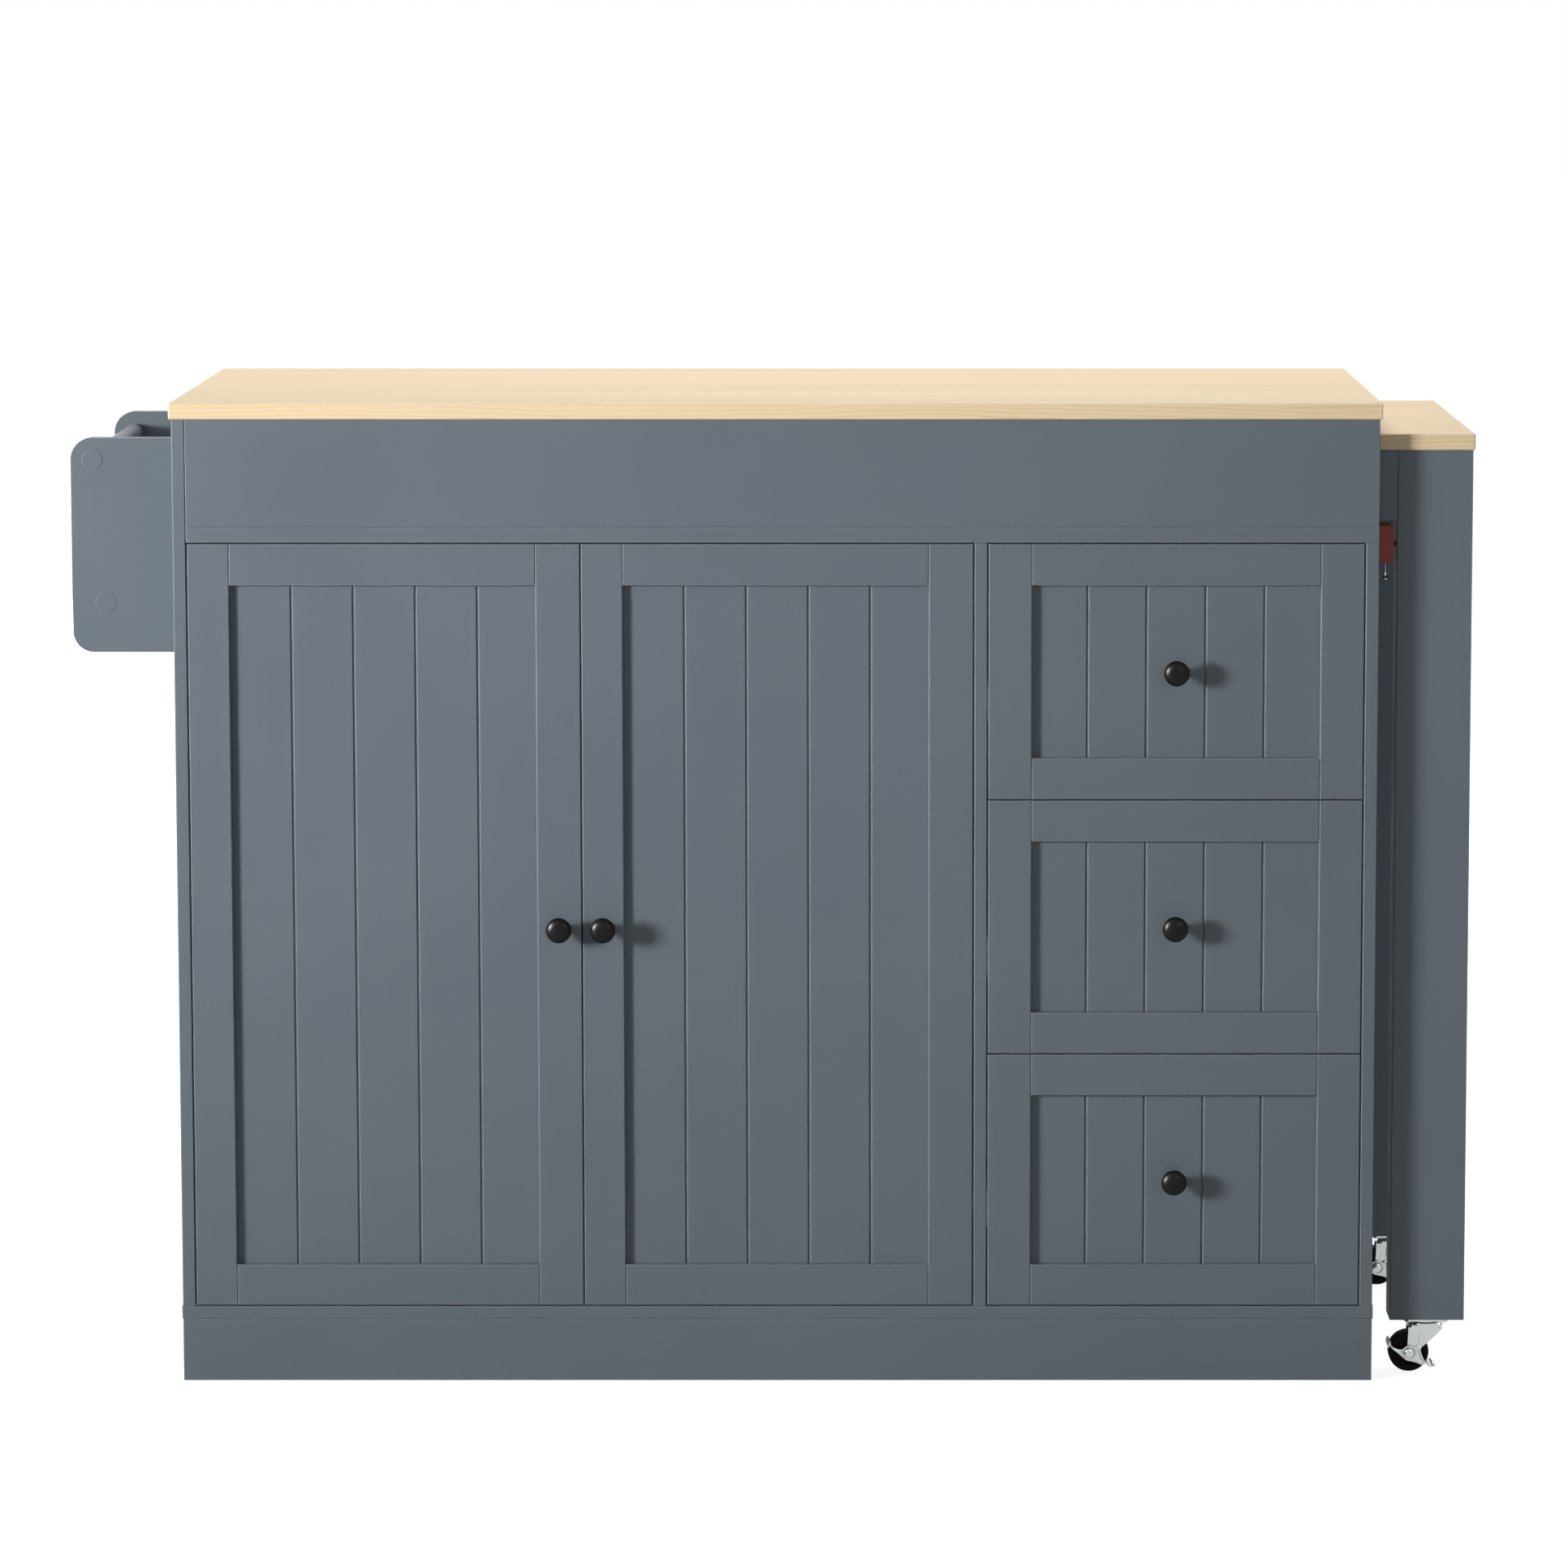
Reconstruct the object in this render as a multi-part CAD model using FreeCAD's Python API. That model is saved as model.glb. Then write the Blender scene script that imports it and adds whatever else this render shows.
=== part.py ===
import FreeCAD, Part
import os

from FreeCAD import Vector

# A kitchen island: a painted cabinet with two doors, three drawers and a towel rack, and under its
# worktop a nesting table that slides out to the right on two casters. Millimetres, +Z up.
# While modelling, X is counted from the cabinet's left side, Y from its front and Z from the floor.
# Each piece is moved at the end so that the origin is the middle of the whole island's footprint.

# Driving sizes of the cabinet
height = 914.0
cabinet_width = 1108.0
cabinet_depth = 447.0
board = 12.0
back_board = 6.0
plinth_height = 58.6
bottom_overhang = 0.8
worktop_thickness = 15.0
worktop_end_overhang = 2.2
worktop_front_overhang = 5.0
cavity_height = 98.8
cavity_floor_thickness = 15.0
cupboard_width = 724.4
edge_ease = 0.8
worktop_ease = 1.2
overrun = 5.0

# Levels and faces that the pieces share
bottom_top = plinth_height + board
worktop_under = height - worktop_thickness
cavity_floor_top = worktop_under - cavity_height
cavity_floor_under = cavity_floor_top - cavity_floor_thickness
divider_left = board + cupboard_width
divider_right = divider_left + board
drawer_bay_right = cabinet_width - board
back_face = cabinet_depth - back_board

# Framed fronts: a grooved panel with flat stiles and rails laid on it
front_gap = 1.0
hinge_gap = 1.0
frame_thickness = 6.0
panel_thickness = 10.0
front_thickness = frame_thickness + panel_thickness
rail_height = 38.5
door_left_stile = 38.2
door_right_stile = 41.0
drawer_stile = 40.0
groove_width = 3.0
groove_depth = 1.5
door_groove_pitch = 57.1
drawer_groove_pitch = 54.3
grooves_per_front = 4
drawer_count = 3

# Knobs and their screws
knob_radius = 11.7
knob_reach = 25.0
knob_neck_radius = 5.4
knob_head_shares = ((1.0, 0.66), (1.0, 0.79), (0.52, 1.0))
knob_neck_share = 0.44

# Concealed hinges, from the door's hinge edge and front face
hinge_inset = 90.0
cup_radius = 17.5
cup_centre = 20.4
cup_skin = 2.6
cup_wall = 0.6
cup_fit = 0.05
cup_flange = 1.0
cup_wing_length = 26.0
cup_wing_width = 7.0
pivot_from_edge = 20.0
pivot_from_front = 5.4
hinge_pin_radius = 1.2
hinge_running_fit = 0.05
hinge_eye_radius = 2.0
arm_thickness = 2.2
arm_width = 12.0
neck_radius = 15.0
arm_plate_thickness = 1.6
arm_plate_end = 80.0
wing_plate_start = 54.0
wing_plate_end = 70.0
wing_plate_length = 44.0

# Shelf and its pins
shelf_side_gap = 0.5
shelf_front = 45.0
shelf_back_gap = 6.0
pin_radius = 2.5
pin_fit = 0.05
pin_seat = 8.0
pin_reach = 7.0
pin_row_front = 80.0
pin_row_inset = 61.0
pin_pitch = 64.0
pins_per_row = 3

# Drawer boxes
drawer_lift = 26.0
drawer_head_room = 45.2
drawer_back_gap = 53.0
drawer_side = 12.0
drawer_bottom = 5.0
drawer_bottom_lift = 10.0
drawer_groove = 6.0

# Drawer runners, from the face of the panel that carries them
runner_space = 12.7
runner_start = 19.0
runner_end_gap = 19.0
runner_level = 62.0
channel_height = 35.0
channel_reach = 11.0
channel_lip = 4.0
steel = 1.2
member_height = 24.0
member_reach = 7.0
glide_fit = 0.25
glide_stop_gap = 0.5
drawer_travel_share = 0.74

# Towel rack on the left side
rack_reach = 100.7
rack_height = 200.0
rack_drop = 37.0
rack_corner = 20.0
rack_inset = 60.0
rack_bar_radius = 8.0
upper_bar_inset = 19.8
upper_bar_drop = 20.0
lower_bar_inset = 30.7
lower_bar_drop = 153.0
cap_radius = 9.5
cap_thickness = 0.4

# Nesting table
table_gap = 18.5
leg_width = 69.5
leg_depth = 40.0
table_inset = 18.5
table_overhang = 4.5
table_end_overhang = 1.5
table_top_thickness = 15.0
table_clearance = 15.0
table_rail = 15.0
table_rail_lift = 3.1
table_left_gap = 10.0
table_travel = 640.0
glide_pad_length = 40.0
glide_pad_start = 12.0
glide_pad_gap = 0.3
stop_width = 20.0
stop_length = 167.0
stop_height = 26.0

# Casters
caster_height = 52.0
wheel_radius = 19.0
wheel_width = 17.6
wheel_web_recess = 1.5
wheel_rim_inner = 12.5
hub_width = 20.6
hub_radius = 6.0
axle_radius = 2.5
axle_fit = 0.06
trail = 15.5
caster_plate_length = 42.0
caster_plate_depth = 38.0
caster_plate_thickness = 1.8
race_radius = 13.0
race_height = 2.2
race_gap = 0.3
crown_thickness = 2.0
crown_level = 43.0
crown_reach = 16.2
crown_corner = 7.0
cup_race_radius = 15.4
cup_race_height = 2.2
kingpin_radius = 3.0
kingpin_head_radius = 5.0
kingpin_head_height = 1.4
kingpin_fit = 0.06
fork_inner = 10.5
fork_sheet = 1.6
fork_eye_radius = 5.0
fork_heel = 3.0
fork_waist_out = 17.0
fork_waist_up = 9.5
axle_cap_radius = 4.2
axle_cap_height = 1.6
brake_gap = 0.15
brake_sheet = 1.2
brake_clear = 0.5
brake_shoe_depth = 2.4
brake_pedal_reach = 6.0
shoe_top_share = (-0.90, 0.44)
shoe_end_share = (-0.955, 0.297)
cheek_high_share = (0.10, 0.33)
cheek_top_left_share = (-0.46, 0.20)
cheek_top_right_share = (0.46, 0.06)
cheek_high_right_share = (0.80, -0.42)
cheek_low_right_share = (0.66, -0.60)
cheek_low_left_share = (-0.42, -0.30)
pedal_top_share = (0.90, -0.44)
pedal_under_share = (0.82, -0.58)
pedal_tip_shares = ((0.83, -0.46), (0.955, -0.375), (0.975, -0.43), (0.81, -0.53))
caster_plate_corner = 4.0

# Catch between the cabinet and the table's front leg
catch_reach = 15.4
catch_width = 23.0
catch_height = 34.1
catch_drop = 1.5
catch_front = 25.0
catch_corner = 3.0
plunger_radius = 3.4
plunger_fit = 0.05
plunger_tail = 9.0
plunger_drop = 17.6
plunger_leg_gap = 0.3
plunger_nose = 1.8
plunger_travel = 2.5
catch_screw_radius = 1.7
catch_screw_length = 14.0
catch_screw_grip = 9.0
catch_screw_head_radius = 5.5
catch_screw_head = 2.0
catch_screw_inset = 6.8

# Where the origin is, in the modelling coordinates
table_right = cabinet_width + table_gap + leg_width + table_end_overhang
origin_x = (table_right - rack_reach) / 2
origin_y = (cabinet_depth + worktop_front_overhang - knob_reach) / 2
nodes = {}


def block(x0, x1, y0, y1, z0, z1):
    return Part.makeBox(x1 - x0, y1 - y0, z1 - z0, Vector(x0, y0, z0))


def cylinder(radius, length, start, direction):
    return Part.makeCylinder(radius, length, start, direction)


def along_x(radius, x0, x1, y, z):
    return cylinder(radius, x1 - x0, Vector(x0, y, z), Vector(1, 0, 0))


def along_y(radius, y0, y1, x, z):
    return cylinder(radius, y1 - y0, Vector(x, y0, z), Vector(0, 1, 0))


def along_z(radius, z0, z1, x, y):
    return cylinder(radius, z1 - z0, Vector(x, y, z0), Vector(0, 0, 1))


def eased_front(x0, x1, y0, y1, z0, z1):
    """A board whose front edges are broken by a small chamfer."""
    shape = block(x0, x1, y0, y1, z0, z1)
    edges = [edge for edge in shape.Edges if edge.BoundBox.YMax < (y0 + y1) / 2]
    return shape.makeChamfer(edge_ease, edges)


def prism(points, direction):
    """The closed outline through points, pushed along direction."""
    wire = Part.makePolygon(points + points[:1])
    return Part.Face(wire).extrude(direction)


def turned(points, centre, axis):
    """The closed outline through points, turned once round an axis through centre."""
    return Part.Face(Part.makePolygon(points + points[:1])).revolve(centre, axis, 360)


def arc(start, middle, end):
    return Part.Arc(start, middle, end).toShape()


def line(start, end):
    return Part.LineSegment(start, end).toShape()


def mirrored(shape, point, normal):
    return shape.mirror(point, normal)


# Cabinet boards

def worktop():
    shape = block(
        -worktop_end_overhang, cabinet_width + worktop_end_overhang,
        -worktop_front_overhang, cabinet_depth + worktop_front_overhang,
        worktop_under, height,
    )
    return shape.makeChamfer(worktop_ease, shape.Edges)


shelf_level = (bottom_top + cavity_floor_under - board) / 2
pin_row_back = back_face - pin_row_inset


def pin_levels():
    middle = shelf_level - pin_radius
    return [middle + (i - (pins_per_row - 1) / 2) * pin_pitch for i in range(pins_per_row)]


def pin_holes(x0, x1):
    rows = (pin_row_front, pin_row_back)
    return [along_x(pin_radius + pin_fit, x0, x1, y, z) for y in rows for z in pin_levels()]


def side_panel_left():
    shape = eased_front(0, board, 0, cabinet_depth, bottom_top, worktop_under)
    return shape.cut(pin_holes(board - pin_seat, board + overrun))


def side_panel_right():
    return eased_front(drawer_bay_right, cabinet_width, 0, cabinet_depth, bottom_top, cavity_floor_under)


def divider_panel():
    shape = eased_front(divider_left, divider_right, 0, back_face, bottom_top, cavity_floor_under)
    return shape.cut(pin_holes(divider_left - overrun, divider_left + pin_seat))


def bottom_board():
    return eased_front(
        -bottom_overhang, cabinet_width + bottom_overhang, 0, cabinet_depth, plinth_height, bottom_top
    )


def cavity_floor():
    return eased_front(board, cabinet_width, 0, cabinet_depth, cavity_floor_under, cavity_floor_top)


def front_apron():
    return eased_front(board, cabinet_width, 0, board, cavity_floor_top, worktop_under)


def rear_apron():
    front = cabinet_depth - board
    return block(board, cabinet_width, front, cabinet_depth, cavity_floor_top, worktop_under)


def back_panel():
    return block(board, drawer_bay_right, back_face, cabinet_depth, bottom_top, cavity_floor_under)


def plinth():
    ends = (0, divider_left, cabinet_width - board)
    back = cabinet_depth - board
    pieces = [
        eased_front(0, cabinet_width, 0, board, 0, plinth_height),
        block(0, cabinet_width, back, cabinet_depth, 0, plinth_height),
    ]
    pieces += [block(x, x + board, board, back, 0, plinth_height) for x in ends]
    return Part.makeCompound(pieces)


def adjustable_shelf():
    return block(
        board + shelf_side_gap, divider_left - shelf_side_gap,
        shelf_front, back_face - shelf_back_gap,
        shelf_level, shelf_level + board,
    )


def shelf_pins():
    level = shelf_level - pin_radius
    pins = []
    for y in (pin_row_front, pin_row_back):
        pins.append(along_x(pin_radius, board - pin_seat, board + pin_reach, y, level))
        pins.append(along_x(pin_radius, divider_left - pin_reach, divider_left + pin_seat, y, level))
    return Part.makeCompound(pins)


# Framed fronts, shared by the doors and the drawers

def grooved_panel(x0, x1, z0, z1, pitch):
    shape = block(x0, x1, frame_thickness, front_thickness, z0, z1)
    middle = (x0 + x1) / 2
    cutters = []
    for i in range(grooves_per_front):
        x = middle + (i - (grooves_per_front - 1) / 2) * pitch
        corners = [
            Vector(x - groove_width / 2, frame_thickness, z0 - overrun),
            Vector(x + groove_width / 2, frame_thickness, z0 - overrun),
            Vector(x, frame_thickness + groove_depth, z0 - overrun),
        ]
        cutters.append(prism(corners, Vector(0, 0, z1 - z0 + 2 * overrun)))
    return shape.cut(cutters)


def face_frame(x0, x1, z0, z1, left_stile, right_stile):
    left = x0 + left_stile
    right = x1 - right_stile
    return [
        eased_front(x0, left, 0, frame_thickness, z0, z1),
        eased_front(right, x1, 0, frame_thickness, z0, z1),
        eased_front(left, right, 0, frame_thickness, z0, z0 + rail_height),
        eased_front(left, right, 0, frame_thickness, z1 - rail_height, z1),
    ]


def knob(x, z, face):
    """A turned knob that stands on face: a round neck and a mushroom head."""
    def at(radius, reach):
        return Vector(x + radius, face - reach, z)

    points = [at(0, 0), at(knob_neck_radius, 0), at(knob_neck_radius, knob_reach * knob_neck_share)]
    points += [at(knob_radius * out, knob_reach * up) for out, up in knob_head_shares]
    points.append(at(0, knob_reach))
    return turned(points, Vector(x, face, z), Vector(0, 1, 0))


# Concealed hinges. In hinge coordinates X runs from the door's hinge edge into the opening,
# Y from the door's front face into the cabinet, and Z from the hinge's middle.

def hinge_cup():
    cup = along_y(cup_radius, cup_skin, front_thickness, cup_centre, 0)
    wing = block(
        cup_centre - cup_wing_width, cup_centre + cup_wing_width,
        front_thickness, front_thickness + cup_flange,
        -cup_wing_length, cup_wing_length,
    )
    bowl = along_y(cup_radius - cup_wall, cup_skin + cup_wall, front_thickness + overrun, cup_centre, 0)
    reach = cup_radius - cup_wall / 2
    pin = along_z(hinge_pin_radius, -reach, reach, pivot_from_edge, pivot_from_front)
    return cup.fuse(wing).cut(bowl).fuse(pin)


def hinge_cup_bore():
    return along_y(cup_radius + cup_fit, cup_skin, front_thickness + overrun, cup_centre, 0)


def hinge_arm():
    half = arm_width / 2
    x = pivot_from_edge
    neck_y = pivot_from_front + neck_radius
    outer = along_z(neck_radius + arm_thickness / 2, -half, half, x, neck_y)
    inner = along_z(neck_radius - arm_thickness / 2, -half, half, x, neck_y)
    top = neck_y + neck_radius + arm_thickness / 2
    right_half = block(x, x + neck_radius * 2, 0, top, -half, half)
    neck = outer.cut(inner).common(right_half)
    eye = along_z(hinge_eye_radius, -half, half, x, pivot_from_front)
    bar = block(-hinge_gap, x, top - arm_thickness, top, -half, half)
    foot = -hinge_gap + arm_plate_thickness
    plate = block(-hinge_gap, foot, top - arm_thickness, arm_plate_end, -half, half)
    wing = block(
        -hinge_gap, foot, wing_plate_start, wing_plate_end,
        -wing_plate_length / 2, wing_plate_length / 2,
    )
    bore = along_z(hinge_pin_radius + hinge_running_fit, -arm_width, arm_width, x, pivot_from_front)
    return neck.fuse([eye, bar, plate, wing]).cut(bore).removeSplitter()


door_bottom = bottom_top + front_gap
door_top = cavity_floor_under - front_gap
door_meeting = (board + divider_left) / 2
door_spans = {
    "door_left": (board + hinge_gap, door_meeting - front_gap / 2),
    "door_right": (door_meeting + front_gap / 2, divider_left - hinge_gap),
}
hinge_levels = (door_bottom + hinge_inset, door_top - hinge_inset)


def hinge_placed(shape, name, level):
    left, right = door_spans[name]
    if name == "door_left":
        return shape.translated(Vector(left, 0, level))
    turned = mirrored(shape, Vector(0, 0, 0), Vector(1, 0, 0))
    return turned.translated(Vector(right, 0, level))


def door_knob_x(name):
    left, right = door_spans[name]
    if name == "door_left":
        return right - door_right_stile / 2
    return left + door_left_stile / 2


def add_door(name):
    left, right = door_spans[name]
    x = door_knob_x(name)
    level = (door_bottom + door_top) / 2
    bores = [hinge_placed(hinge_cup_bore(), name, z) for z in hinge_levels]
    panel = grooved_panel(left, right, door_bottom, door_top, door_groove_pitch)
    frame = face_frame(left, right, door_bottom, door_top, door_left_stile, door_right_stile)
    nodes[name + "_panel"] = panel.cut(bores)
    nodes[name + "_frame"] = Part.makeCompound([piece.cut(bores) for piece in frame])
    nodes[name + "_knob"] = knob(x, level, 0)
    cups = [hinge_placed(hinge_cup(), name, z) for z in hinge_levels]
    nodes[name + "_hinge_cups"] = Part.makeCompound(cups)


def hinge_arms():
    return Part.makeCompound(
        [hinge_placed(hinge_arm(), name, z) for name in door_spans for z in hinge_levels]
    )


# Drawers, numbered from the top down

drawer_names = ("top", "middle", "bottom")
drawer_left = divider_right + front_gap
drawer_right = drawer_bay_right - front_gap
fronts_height = cavity_floor_under - bottom_top
drawer_box_depth = back_face - drawer_back_gap - front_thickness
drawer_front_height = (fronts_height - (drawer_count + 1) * front_gap) / drawer_count
box_left = divider_right + runner_space
box_right = drawer_bay_right - runner_space
box_back = front_thickness + drawer_box_depth
drawer_box_height = drawer_front_height - drawer_lift - drawer_head_room
runner_length = box_back - runner_end_gap - runner_start
drawer_travel = runner_length * drawer_travel_share
glide_length = (runner_length - drawer_travel) / 2 - glide_stop_gap


def drawer_front_bottom(index):
    return cavity_floor_under - (index + 1) * (front_gap + drawer_front_height)


def drawer_box(floor):
    """Two sides, an inner front, a back and a bottom let into a groove all round."""
    top = floor + drawer_box_height
    inner_left = box_left + drawer_side
    inner_right = box_right - drawer_side
    inner_front = front_thickness + drawer_side
    inner_back = box_back - drawer_side
    bottom = block(
        inner_left - drawer_groove, inner_right + drawer_groove,
        inner_front - drawer_groove, inner_back + drawer_groove,
        floor + drawer_bottom_lift, floor + drawer_bottom_lift + drawer_bottom,
    )
    walls = [
        block(box_left, inner_left, front_thickness, box_back, floor, top),
        block(inner_right, box_right, front_thickness, box_back, floor, top),
        block(inner_left, inner_right, front_thickness, inner_front, floor, top),
        block(inner_left, inner_right, inner_back, box_back, floor, top),
    ]
    return [wall.cut(bottom) for wall in walls] + [bottom]


def channel_runner():
    """A steel channel for one side, web on X = 0, with a glide block in its front end."""
    half = channel_height / 2
    back = runner_start + runner_length
    outer = block(0, channel_reach, runner_start, back, -half, half)
    start = runner_start - overrun
    end = back + overrun
    slot = half - channel_lip
    hollow = block(steel, channel_reach - steel, start, end, steel - half, half - steel)
    mouth = block(steel, channel_reach + overrun, start, end, -slot, slot)
    channel = outer.cut([hollow, mouth])
    return [channel, front_glide()]


def front_glide():
    """Fixed in the channel's front end, cut so that the drawer's member runs through it."""
    half = channel_height / 2 - steel
    end = runner_start + glide_length
    shape = block(steel, channel_reach - steel, runner_start, end, -half, half)
    return shape.cut(member_profile(glide_fit, runner_start - overrun, end + overrun))


def member_profile(grown, start, end):
    """The drawer's member: a web on the drawer and two flanges reaching into the channel."""
    half = member_height / 2 + grown
    inner = member_height / 2 - steel - grown
    left = runner_space - steel - member_reach - grown
    outer = block(left, runner_space, start, end, -half, half)
    web = runner_space - steel - grown
    return outer.cut(block(left - overrun, web, start - overrun, end + overrun, -inner, inner))


def drawer_member():
    """The drawer's member and the glide block on its rear end."""
    back = runner_start + runner_length
    member = member_profile(0, runner_start, back)
    half = channel_height / 2 - steel - glide_fit
    glide = block(
        steel + glide_fit, channel_reach - steel - glide_fit,
        back - glide_length, back, -half, half,
    ).cut(member)
    return [member, glide]


def runner_placed(shape, side, level):
    if side == "left":
        return shape.translated(Vector(divider_right, 0, level))
    turned = mirrored(shape, Vector(0, 0, 0), Vector(1, 0, 0))
    return turned.translated(Vector(drawer_bay_right, 0, level))


def add_drawer(index):
    name = "drawer_" + drawer_names[index]
    low = drawer_front_bottom(index)
    high = low + drawer_front_height
    level = (low + high) / 2
    middle = (drawer_left + drawer_right) / 2
    frame = face_frame(drawer_left, drawer_right, low, high, drawer_stile, drawer_stile)
    nodes[name + "_panel"] = grooved_panel(drawer_left, drawer_right, low, high, drawer_groove_pitch)
    nodes[name + "_frame"] = Part.makeCompound(frame)
    floor = low + drawer_lift
    nodes[name + "_box"] = Part.makeCompound(drawer_box(floor))
    nodes[name + "_knob"] = knob(middle, level, frame_thickness)
    members = [
        runner_placed(piece, side, floor + runner_level)
        for side in ("left", "right") for piece in drawer_member()
    ]
    nodes[name + "_runners"] = Part.makeCompound(members)


def drawer_channels():
    pieces = []
    for index in range(drawer_count):
        level = drawer_front_bottom(index) + drawer_lift + runner_level
        for side in ("left", "right"):
            pieces += [runner_placed(piece, side, level) for piece in channel_runner()]
    return Part.makeCompound(pieces)


# Towel rack

rack_top = height - rack_drop
rack_front = rack_inset
rack_back = cabinet_depth - rack_inset - board
bar_places = (
    (upper_bar_inset - rack_reach, rack_top - upper_bar_drop),
    (lower_bar_inset - rack_reach, rack_top - lower_bar_drop),
)


def rack_plate(front):
    shape = block(-rack_reach, 0, front, front + board, rack_top - rack_height, rack_top)
    corners = [
        edge for edge in shape.Edges
        if edge.BoundBox.XMax < -rack_reach / 2 and edge.BoundBox.YLength > board / 2
    ]
    return shape.makeFillet(rack_corner, corners)


def rack_bars():
    start = rack_front + board
    return Part.makeCompound(
        [along_y(rack_bar_radius, start, rack_back, x, z) for x, z in bar_places]
    )


def rack_caps():
    caps = []
    for x, z in bar_places:
        caps.append(along_y(cap_radius, rack_front - cap_thickness, rack_front, x, z))
        caps.append(along_y(cap_radius, rack_back + board, rack_back + board + cap_thickness, x, z))
    return Part.makeCompound(caps)


# Nesting table

table_top = worktop_under - table_clearance
table_under = table_top - table_top_thickness
table_front = table_inset
table_back = cabinet_depth - table_inset
frame_front = table_front + table_overhang
frame_back = table_back - table_overhang
table_left = board + table_left_gap
rail_bottom = cavity_floor_top + table_rail_lift
leg_left = cabinet_width + table_gap
leg_right = leg_left + leg_width
leg_middle = (leg_left + leg_right) / 2


def extension_top():
    shape = block(table_left, table_right, table_front, table_back, table_under, table_top)
    return shape.makeChamfer(worktop_ease, shape.Edges)


def extension_rail(front):
    return eased_front(table_left, leg_left, front, front + table_rail, rail_bottom, table_under)


def extension_cross_rails():
    right = leg_right - table_rail
    return Part.makeCompound([
        block(
            table_left, table_left + table_rail,
            frame_front + table_rail, frame_back - table_rail, rail_bottom, table_under,
        ),
        block(
            right, leg_right,
            frame_front + leg_depth, frame_back - leg_depth, rail_bottom, table_under,
        ),
    ])


def extension_leg(front):
    back = front + leg_depth
    shape = block(leg_left, leg_right, front, back, caster_height, table_under)
    upright = [
        edge for edge in shape.Edges
        if edge.BoundBox.ZLength > (table_under - caster_height) / 2
    ]
    return shape.makeChamfer(edge_ease, upright)


def extension_glides():
    left = table_left + glide_pad_start
    right = left + glide_pad_length
    low = cavity_floor_top + glide_pad_gap
    fronts = (frame_front, frame_back - table_rail)
    return Part.makeCompound(
        [block(left, right, y, y + table_rail, low, rail_bottom) for y in fronts]
    )


def extension_stop():
    left = table_left + table_rail + table_travel
    middle = cabinet_depth / 2
    return block(
        left, left + stop_width,
        middle - stop_length / 2, middle + stop_length / 2,
        cavity_floor_top, cavity_floor_top + stop_height,
    )


# Casters. In caster coordinates X = Y = 0 is the swivel axis and Z is counted from the floor.
# The wheel trails towards -X.

caster_places = {
    "front": frame_front + leg_depth / 2,
    "rear": frame_back - leg_depth / 2,
}
axle_x = -trail
fork_outer = fork_inner + fork_sheet
brake_inner = fork_outer + brake_gap
brake_outer = brake_inner + brake_sheet
axle_end = brake_outer + brake_gap
brake_path = wheel_radius + brake_clear


def caster_plate():
    """The bolted plate with its raceway, and the kingpin through it."""
    low = caster_height - caster_plate_thickness
    length = caster_plate_length / 2
    depth = caster_plate_depth / 2
    plate = block(-length, length, -depth, depth, low, caster_height)
    upright = [edge for edge in plate.Edges if edge.BoundBox.ZLength > caster_plate_thickness / 2]
    plate = plate.makeChamfer(caster_plate_corner, upright)
    race = along_z(race_radius, low - race_height, low, 0, 0)
    pin = along_z(kingpin_radius, crown_level - race_gap, low, 0, 0)
    head_low = crown_level - race_gap - kingpin_head_height
    head = along_z(kingpin_head_radius, head_low, crown_level - race_gap, 0, 0)
    return plate.fuse([race, pin, head]).removeSplitter()


def fork_cheek():
    """One cheek of the fork, from the crown down to the eye round the axle."""
    top = crown_level
    heel = Vector(axle_x + fork_heel - fork_eye_radius, 0, wheel_radius)
    toe = Vector(axle_x, 0, wheel_radius - fork_eye_radius)
    side = Vector(axle_x + fork_eye_radius, 0, wheel_radius)
    left_top = Vector(-crown_reach, 0, top)
    right_top = Vector(crown_reach, 0, top)
    waist = Vector(axle_x + fork_waist_out, 0, wheel_radius + fork_waist_up)
    eye = along_y(fork_eye_radius, fork_inner, fork_outer, axle_x, wheel_radius)
    outline = Part.Wire([
        line(left_top, right_top),
        arc(right_top, waist, side),
        line(side, toe),
        line(toe, heel),
        line(heel, left_top),
    ])
    blade = Part.Face(outline).extrude(Vector(0, fork_sheet, 0)).translated(Vector(0, fork_inner, 0))
    return blade.fuse(eye)


def caster_fork():
    """Crown, ball race and two cheeks, and the axle through them."""
    top = crown_level + crown_thickness
    crown = block(-crown_reach, crown_reach, -fork_outer, fork_outer, crown_level, top)
    upright = [edge for edge in crown.Edges if edge.BoundBox.ZLength > crown_thickness / 2]
    crown = crown.makeFillet(crown_corner, upright)
    ring = along_z(cup_race_radius, top, top + cup_race_height, 0, 0)
    cheek = fork_cheek()
    other = mirrored(cheek, Vector(0, 0, 0), Vector(0, 1, 0))
    race_top = top + cup_race_height
    hole = along_z(kingpin_radius + kingpin_fit, crown_level - overrun, race_top + overrun, 0, 0)
    bore = along_y(axle_radius, -axle_end, axle_end, axle_x, wheel_radius)
    fork = crown.fuse([ring, cheek, other]).cut([hole, bore])
    return Part.makeCompound([fork, caster_axle()])


def caster_axle():
    """A rivet with a head outside each brake cheek."""
    cap = along_y(axle_cap_radius, axle_end, axle_end + axle_cap_height, axle_x, wheel_radius)
    other = mirrored(cap, Vector(0, 0, 0), Vector(0, 1, 0))
    shank = along_y(axle_radius, -axle_end, axle_end, axle_x, wheel_radius)
    return shank.fuse([cap, other]).removeSplitter()


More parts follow.
